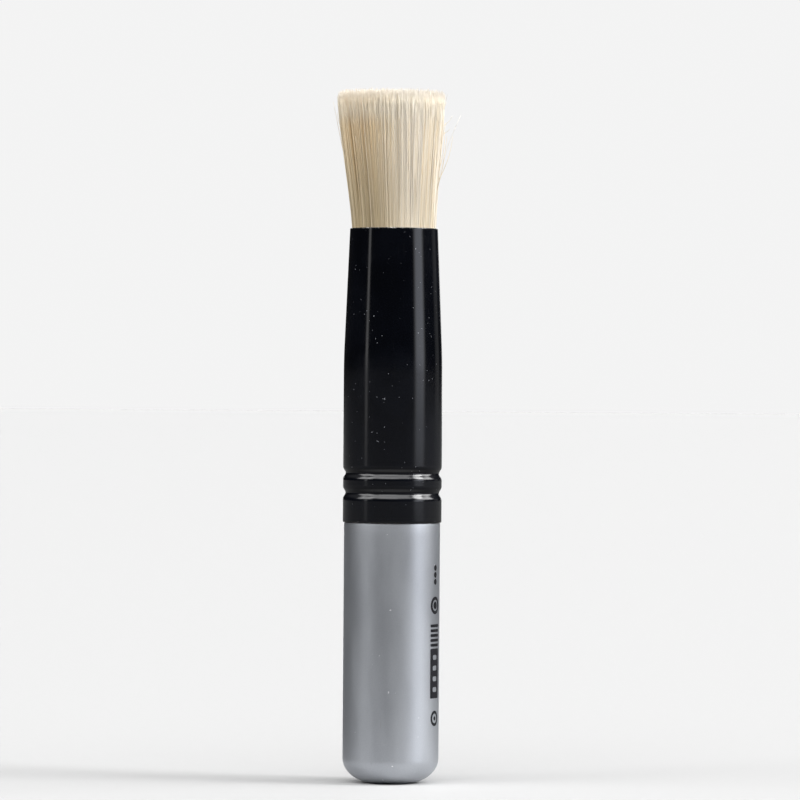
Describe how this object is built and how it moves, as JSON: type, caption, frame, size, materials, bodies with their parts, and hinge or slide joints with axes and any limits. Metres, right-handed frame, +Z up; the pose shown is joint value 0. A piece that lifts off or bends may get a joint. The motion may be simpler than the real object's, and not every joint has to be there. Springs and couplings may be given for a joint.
{
  "type": "round stencil brush",
  "caption": "Round stencil brush: stiff flared tuft of natural bristle with a flat trimmed end, set in a gloss black tapered ferrule crimped on a short satin silver handle.",
  "frame": {"origin": "centre of the handle's flat base", "axes": "+Z runs up the brush's axis from the base to the bristles; the brush is round, so X and Y are any two directions across it"},
  "size_m": [0.0202, 0.0202, 0.129],
  "materials": {
    "silver_paint": "satin",
    "black_enamel": "gloss",
    "bristle": "matte",
    "binding_thread": "matte",
    "root_cement": "gloss"
  },
  "bodies": {
    "root": {"handle": "silver_paint", "ferrule": "black_enamel", "bristle_tuft": "bristle", "root_binding": "binding_thread", "glue_plug": "root_cement"}
  },
  "joints": []
}
